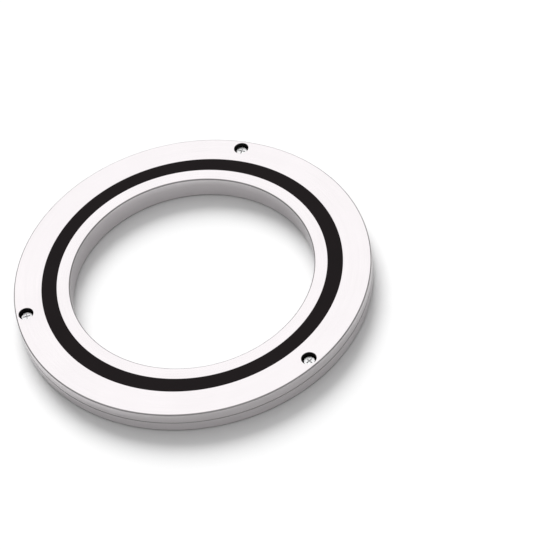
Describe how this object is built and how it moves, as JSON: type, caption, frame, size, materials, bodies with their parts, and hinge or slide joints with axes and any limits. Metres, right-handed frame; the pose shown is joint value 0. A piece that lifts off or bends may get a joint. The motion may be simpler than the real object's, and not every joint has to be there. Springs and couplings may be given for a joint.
{
  "type": "slewing ring bearing",
  "caption": "Slim sealed slewing ring bearing: crossed rollers between a one-piece inner ring and a split outer ring held together by recessed screws.",
  "frame": {"origin": "centre of the bore at mid-width, in the plane where the outer ring's two halves meet", "axes": "+Z along the bearing's axis, out of the face with the screw heads; +Y through one of the screws"},
  "size_m": [0.19, 0.19, 0.013],
  "materials": {
    "ground_steel": "hardened, ground and lapped bright",
    "seal_rubber": "moulded matte nitrile",
    "plated_screw": "bright plated",
    "pressed_steel": "cold-rolled, bonded into the seal",
    "spacer_resin": "moulded natural resin",
    "roller_steel": "superfinished"
  },
  "bodies": {
    "outer_ring": {"outer_ring_upper": "ground_steel", "outer_ring_lower": "ground_steel", "clamp_screws": "plated_screw", "seal_upper": "seal_rubber", "seal_lower": "seal_rubber", "seal_stiffener_upper": "pressed_steel", "seal_stiffener_lower": "pressed_steel"},
    "inner_ring": {"inner_ring": "ground_steel"},
    "roller_train": {"roller_spacers": "spacer_resin"},
    "roller_01": {"roller_01": "roller_steel"},
    "roller_02": {"roller_02": "roller_steel"},
    "roller_03": {"roller_03": "roller_steel"},
    "roller_04": {"roller_04": "roller_steel"},
    "roller_05": {"roller_05": "roller_steel"},
    "roller_06": {"roller_06": "roller_steel"},
    "roller_07": {"roller_07": "roller_steel"},
    "roller_08": {"roller_08": "roller_steel"},
    "roller_09": {"roller_09": "roller_steel"},
    "roller_10": {"roller_10": "roller_steel"},
    "roller_11": {"roller_11": "roller_steel"},
    "roller_12": {"roller_12": "roller_steel"},
    "roller_13": {"roller_13": "roller_steel"},
    "roller_14": {"roller_14": "roller_steel"},
    "roller_15": {"roller_15": "roller_steel"},
    "roller_16": {"roller_16": "roller_steel"},
    "roller_17": {"roller_17": "roller_steel"},
    "roller_18": {"roller_18": "roller_steel"},
    "roller_19": {"roller_19": "roller_steel"},
    "roller_20": {"roller_20": "roller_steel"},
    "roller_21": {"roller_21": "roller_steel"},
    "roller_22": {"roller_22": "roller_steel"},
    "roller_23": {"roller_23": "roller_steel"},
    "roller_24": {"roller_24": "roller_steel"},
    "roller_25": {"roller_25": "roller_steel"},
    "roller_26": {"roller_26": "roller_steel"},
    "roller_27": {"roller_27": "roller_steel"},
    "roller_28": {"roller_28": "roller_steel"},
    "roller_29": {"roller_29": "roller_steel"},
    "roller_30": {"roller_30": "roller_steel"},
    "roller_31": {"roller_31": "roller_steel"},
    "roller_32": {"roller_32": "roller_steel"},
    "roller_33": {"roller_33": "roller_steel"},
    "roller_34": {"roller_34": "roller_steel"},
    "roller_35": {"roller_35": "roller_steel"},
    "roller_36": {"roller_36": "roller_steel"},
    "roller_37": {"roller_37": "roller_steel"},
    "roller_38": {"roller_38": "roller_steel"},
    "roller_39": {"roller_39": "roller_steel"},
    "roller_40": {"roller_40": "roller_steel"},
    "roller_41": {"roller_41": "roller_steel"},
    "roller_42": {"roller_42": "roller_steel"},
    "roller_43": {"roller_43": "roller_steel"},
    "roller_44": {"roller_44": "roller_steel"},
    "roller_45": {"roller_45": "roller_steel"},
    "roller_46": {"roller_46": "roller_steel"},
    "roller_47": {"roller_47": "roller_steel"},
    "roller_48": {"roller_48": "roller_steel"}
  },
  "joints": [
    {"name": "inner_spin", "type": "hinge", "parent": "outer_ring", "child": "inner_ring", "pos_m": [0, 0, 0], "axis": [0, 0, 1], "continuous": true},
    {"name": "train_orbit", "type": "hinge", "parent": "outer_ring", "child": "roller_train", "pos_m": [0, 0, 0], "axis": [0, 0, 1], "continuous": true},
    {"name": "roller_01_spin", "type": "hinge", "parent": "roller_train", "child": "roller_01", "pos_m": [0.076, 0, 0], "axis": [-0.7071, 0, 0.7071], "continuous": true},
    {"name": "roller_02_spin", "type": "hinge", "parent": "roller_train", "child": "roller_02", "pos_m": [0.07535, 0.00992, 0], "axis": [0.7011, 0.0923, 0.7071], "continuous": true},
    {"name": "roller_03_spin", "type": "hinge", "parent": "roller_train", "child": "roller_03", "pos_m": [0.07341, 0.01967, 0], "axis": [-0.683, -0.183, 0.7071], "continuous": true},
    {"name": "roller_04_spin", "type": "hinge", "parent": "roller_train", "child": "roller_04", "pos_m": [0.07021, 0.02908, 0], "axis": [0.6533, 0.2706, 0.7071], "continuous": true},
    {"name": "roller_05_spin", "type": "hinge", "parent": "roller_train", "child": "roller_05", "pos_m": [0.06582, 0.038, 0], "axis": [-0.6124, -0.3536, 0.7071], "continuous": true},
    {"name": "roller_06_spin", "type": "hinge", "parent": "roller_train", "child": "roller_06", "pos_m": [0.06029, 0.04627, 0], "axis": [0.561, 0.4305, 0.7071], "continuous": true},
    {"name": "roller_07_spin", "type": "hinge", "parent": "roller_train", "child": "roller_07", "pos_m": [0.05374, 0.05374, 0], "axis": [-0.5, -0.5, 0.7071], "continuous": true},
    {"name": "roller_08_spin", "type": "hinge", "parent": "roller_train", "child": "roller_08", "pos_m": [0.04627, 0.06029, 0], "axis": [0.4305, 0.561, 0.7071], "continuous": true},
    {"name": "roller_09_spin", "type": "hinge", "parent": "roller_train", "child": "roller_09", "pos_m": [0.038, 0.06582, 0], "axis": [-0.3536, -0.6124, 0.7071], "continuous": true},
    {"name": "roller_10_spin", "type": "hinge", "parent": "roller_train", "child": "roller_10", "pos_m": [0.02908, 0.07021, 0], "axis": [0.2706, 0.6533, 0.7071], "continuous": true},
    {"name": "roller_11_spin", "type": "hinge", "parent": "roller_train", "child": "roller_11", "pos_m": [0.01967, 0.07341, 0], "axis": [-0.183, -0.683, 0.7071], "continuous": true},
    {"name": "roller_12_spin", "type": "hinge", "parent": "roller_train", "child": "roller_12", "pos_m": [0.00992, 0.07535, 0], "axis": [0.0923, 0.7011, 0.7071], "continuous": true},
    {"name": "roller_13_spin", "type": "hinge", "parent": "roller_train", "child": "roller_13", "pos_m": [0, 0.076, 0], "axis": [0, -0.7071, 0.7071], "continuous": true},
    {"name": "roller_14_spin", "type": "hinge", "parent": "roller_train", "child": "roller_14", "pos_m": [-0.00992, 0.07535, 0], "axis": [-0.0923, 0.7011, 0.7071], "continuous": true},
    {"name": "roller_15_spin", "type": "hinge", "parent": "roller_train", "child": "roller_15", "pos_m": [-0.01967, 0.07341, 0], "axis": [0.183, -0.683, 0.7071], "continuous": true},
    {"name": "roller_16_spin", "type": "hinge", "parent": "roller_train", "child": "roller_16", "pos_m": [-0.02908, 0.07021, 0], "axis": [-0.2706, 0.6533, 0.7071], "continuous": true},
    {"name": "roller_17_spin", "type": "hinge", "parent": "roller_train", "child": "roller_17", "pos_m": [-0.038, 0.06582, 0], "axis": [0.3536, -0.6124, 0.7071], "continuous": true},
    {"name": "roller_18_spin", "type": "hinge", "parent": "roller_train", "child": "roller_18", "pos_m": [-0.04627, 0.06029, 0], "axis": [-0.4305, 0.561, 0.7071], "continuous": true},
    {"name": "roller_19_spin", "type": "hinge", "parent": "roller_train", "child": "roller_19", "pos_m": [-0.05374, 0.05374, 0], "axis": [0.5, -0.5, 0.7071], "continuous": true},
    {"name": "roller_20_spin", "type": "hinge", "parent": "roller_train", "child": "roller_20", "pos_m": [-0.06029, 0.04627, 0], "axis": [-0.561, 0.4305, 0.7071], "continuous": true},
    {"name": "roller_21_spin", "type": "hinge", "parent": "roller_train", "child": "roller_21", "pos_m": [-0.06582, 0.038, 0], "axis": [0.6124, -0.3536, 0.7071], "continuous": true},
    {"name": "roller_22_spin", "type": "hinge", "parent": "roller_train", "child": "roller_22", "pos_m": [-0.07021, 0.02908, 0], "axis": [-0.6533, 0.2706, 0.7071], "continuous": true},
    {"name": "roller_23_spin", "type": "hinge", "parent": "roller_train", "child": "roller_23", "pos_m": [-0.07341, 0.01967, 0], "axis": [0.683, -0.183, 0.7071], "continuous": true},
    {"name": "roller_24_spin", "type": "hinge", "parent": "roller_train", "child": "roller_24", "pos_m": [-0.07535, 0.00992, 0], "axis": [-0.7011, 0.0923, 0.7071], "continuous": true},
    {"name": "roller_25_spin", "type": "hinge", "parent": "roller_train", "child": "roller_25", "pos_m": [-0.076, 0, 0], "axis": [0.7071, 0, 0.7071], "continuous": true},
    {"name": "roller_26_spin", "type": "hinge", "parent": "roller_train", "child": "roller_26", "pos_m": [-0.07535, -0.00992, 0], "axis": [-0.7011, -0.0923, 0.7071], "continuous": true},
    {"name": "roller_27_spin", "type": "hinge", "parent": "roller_train", "child": "roller_27", "pos_m": [-0.07341, -0.01967, 0], "axis": [0.683, 0.183, 0.7071], "continuous": true},
    {"name": "roller_28_spin", "type": "hinge", "parent": "roller_train", "child": "roller_28", "pos_m": [-0.07021, -0.02908, 0], "axis": [-0.6533, -0.2706, 0.7071], "continuous": true},
    {"name": "roller_29_spin", "type": "hinge", "parent": "roller_train", "child": "roller_29", "pos_m": [-0.06582, -0.038, 0], "axis": [0.6124, 0.3536, 0.7071], "continuous": true},
    {"name": "roller_30_spin", "type": "hinge", "parent": "roller_train", "child": "roller_30", "pos_m": [-0.06029, -0.04627, 0], "axis": [-0.561, -0.4305, 0.7071], "continuous": true},
    {"name": "roller_31_spin", "type": "hinge", "parent": "roller_train", "child": "roller_31", "pos_m": [-0.05374, -0.05374, 0], "axis": [0.5, 0.5, 0.7071], "continuous": true},
    {"name": "roller_32_spin", "type": "hinge", "parent": "roller_train", "child": "roller_32", "pos_m": [-0.04627, -0.06029, 0], "axis": [-0.4305, -0.561, 0.7071], "continuous": true},
    {"name": "roller_33_spin", "type": "hinge", "parent": "roller_train", "child": "roller_33", "pos_m": [-0.038, -0.06582, 0], "axis": [0.3536, 0.6124, 0.7071], "continuous": true},
    {"name": "roller_34_spin", "type": "hinge", "parent": "roller_train", "child": "roller_34", "pos_m": [-0.02908, -0.07021, 0], "axis": [-0.2706, -0.6533, 0.7071], "continuous": true},
    {"name": "roller_35_spin", "type": "hinge", "parent": "roller_train", "child": "roller_35", "pos_m": [-0.01967, -0.07341, 0], "axis": [0.183, 0.683, 0.7071], "continuous": true},
    {"name": "roller_36_spin", "type": "hinge", "parent": "roller_train", "child": "roller_36", "pos_m": [-0.00992, -0.07535, 0], "axis": [-0.0923, -0.7011, 0.7071], "continuous": true},
    {"name": "roller_37_spin", "type": "hinge", "parent": "roller_train", "child": "roller_37", "pos_m": [0, -0.076, 0], "axis": [0, 0.7071, 0.7071], "continuous": true},
    {"name": "roller_38_spin", "type": "hinge", "parent": "roller_train", "child": "roller_38", "pos_m": [0.00992, -0.07535, 0], "axis": [0.0923, -0.7011, 0.7071], "continuous": true},
    {"name": "roller_39_spin", "type": "hinge", "parent": "roller_train", "child": "roller_39", "pos_m": [0.01967, -0.07341, 0], "axis": [-0.183, 0.683, 0.7071], "continuous": true},
    {"name": "roller_40_spin", "type": "hinge", "parent": "roller_train", "child": "roller_40", "pos_m": [0.02908, -0.07021, 0], "axis": [0.2706, -0.6533, 0.7071], "continuous": true},
    {"name": "roller_41_spin", "type": "hinge", "parent": "roller_train", "child": "roller_41", "pos_m": [0.038, -0.06582, 0], "axis": [-0.3536, 0.6124, 0.7071], "continuous": true},
    {"name": "roller_42_spin", "type": "hinge", "parent": "roller_train", "child": "roller_42", "pos_m": [0.04627, -0.06029, 0], "axis": [0.4305, -0.561, 0.7071], "continuous": true},
    {"name": "roller_43_spin", "type": "hinge", "parent": "roller_train", "child": "roller_43", "pos_m": [0.05374, -0.05374, 0], "axis": [-0.5, 0.5, 0.7071], "continuous": true},
    {"name": "roller_44_spin", "type": "hinge", "parent": "roller_train", "child": "roller_44", "pos_m": [0.06029, -0.04627, 0], "axis": [0.561, -0.4305, 0.7071], "continuous": true},
    {"name": "roller_45_spin", "type": "hinge", "parent": "roller_train", "child": "roller_45", "pos_m": [0.06582, -0.038, 0], "axis": [-0.6124, 0.3536, 0.7071], "continuous": true},
    {"name": "roller_46_spin", "type": "hinge", "parent": "roller_train", "child": "roller_46", "pos_m": [0.07021, -0.02908, 0], "axis": [0.6533, -0.2706, 0.7071], "continuous": true},
    {"name": "roller_47_spin", "type": "hinge", "parent": "roller_train", "child": "roller_47", "pos_m": [0.07341, -0.01967, 0], "axis": [-0.683, 0.183, 0.7071], "continuous": true},
    {"name": "roller_48_spin", "type": "hinge", "parent": "roller_train", "child": "roller_48", "pos_m": [0.07535, -0.00992, 0], "axis": [0.7011, -0.0923, 0.7071], "continuous": true}
  ],
  "couplings": [
    {"joint": "train_orbit", "follows": "inner_spin", "ratio": 0.48604},
    {"joint": "roller_01_spin", "follows": "inner_spin", "ratio": -12.657},
    {"joint": "roller_02_spin", "follows": "inner_spin", "ratio": -12.657},
    {"joint": "roller_03_spin", "follows": "inner_spin", "ratio": -12.657},
    {"joint": "roller_04_spin", "follows": "inner_spin", "ratio": -12.657},
    {"joint": "roller_05_spin", "follows": "inner_spin", "ratio": -12.657},
    {"joint": "roller_06_spin", "follows": "inner_spin", "ratio": -12.657},
    {"joint": "roller_07_spin", "follows": "inner_spin", "ratio": -12.657},
    {"joint": "roller_08_spin", "follows": "inner_spin", "ratio": -12.657},
    {"joint": "roller_09_spin", "follows": "inner_spin", "ratio": -12.657},
    {"joint": "roller_10_spin", "follows": "inner_spin", "ratio": -12.657},
    {"joint": "roller_11_spin", "follows": "inner_spin", "ratio": -12.657},
    {"joint": "roller_12_spin", "follows": "inner_spin", "ratio": -12.657},
    {"joint": "roller_13_spin", "follows": "inner_spin", "ratio": -12.657},
    {"joint": "roller_14_spin", "follows": "inner_spin", "ratio": -12.657},
    {"joint": "roller_15_spin", "follows": "inner_spin", "ratio": -12.657},
    {"joint": "roller_16_spin", "follows": "inner_spin", "ratio": -12.657},
    {"joint": "roller_17_spin", "follows": "inner_spin", "ratio": -12.657},
    {"joint": "roller_18_spin", "follows": "inner_spin", "ratio": -12.657},
    {"joint": "roller_19_spin", "follows": "inner_spin", "ratio": -12.657},
    {"joint": "roller_20_spin", "follows": "inner_spin", "ratio": -12.657},
    {"joint": "roller_21_spin", "follows": "inner_spin", "ratio": -12.657},
    {"joint": "roller_22_spin", "follows": "inner_spin", "ratio": -12.657},
    {"joint": "roller_23_spin", "follows": "inner_spin", "ratio": -12.657},
    {"joint": "roller_24_spin", "follows": "inner_spin", "ratio": -12.657},
    {"joint": "roller_25_spin", "follows": "inner_spin", "ratio": -12.657},
    {"joint": "roller_26_spin", "follows": "inner_spin", "ratio": -12.657},
    {"joint": "roller_27_spin", "follows": "inner_spin", "ratio": -12.657},
    {"joint": "roller_28_spin", "follows": "inner_spin", "ratio": -12.657},
    {"joint": "roller_29_spin", "follows": "inner_spin", "ratio": -12.657},
    {"joint": "roller_30_spin", "follows": "inner_spin", "ratio": -12.657},
    {"joint": "roller_31_spin", "follows": "inner_spin", "ratio": -12.657},
    {"joint": "roller_32_spin", "follows": "inner_spin", "ratio": -12.657},
    {"joint": "roller_33_spin", "follows": "inner_spin", "ratio": -12.657},
    {"joint": "roller_34_spin", "follows": "inner_spin", "ratio": -12.657},
    {"joint": "roller_35_spin", "follows": "inner_spin", "ratio": -12.657},
    {"joint": "roller_36_spin", "follows": "inner_spin", "ratio": -12.657},
    {"joint": "roller_37_spin", "follows": "inner_spin", "ratio": -12.657},
    {"joint": "roller_38_spin", "follows": "inner_spin", "ratio": -12.657},
    {"joint": "roller_39_spin", "follows": "inner_spin", "ratio": -12.657},
    {"joint": "roller_40_spin", "follows": "inner_spin", "ratio": -12.657},
    {"joint": "roller_41_spin", "follows": "inner_spin", "ratio": -12.657},
    {"joint": "roller_42_spin", "follows": "inner_spin", "ratio": -12.657},
    {"joint": "roller_43_spin", "follows": "inner_spin", "ratio": -12.657},
    {"joint": "roller_44_spin", "follows": "inner_spin", "ratio": -12.657},
    {"joint": "roller_45_spin", "follows": "inner_spin", "ratio": -12.657},
    {"joint": "roller_46_spin", "follows": "inner_spin", "ratio": -12.657},
    {"joint": "roller_47_spin", "follows": "inner_spin", "ratio": -12.657},
    {"joint": "roller_48_spin", "follows": "inner_spin", "ratio": -12.657}
  ]
}
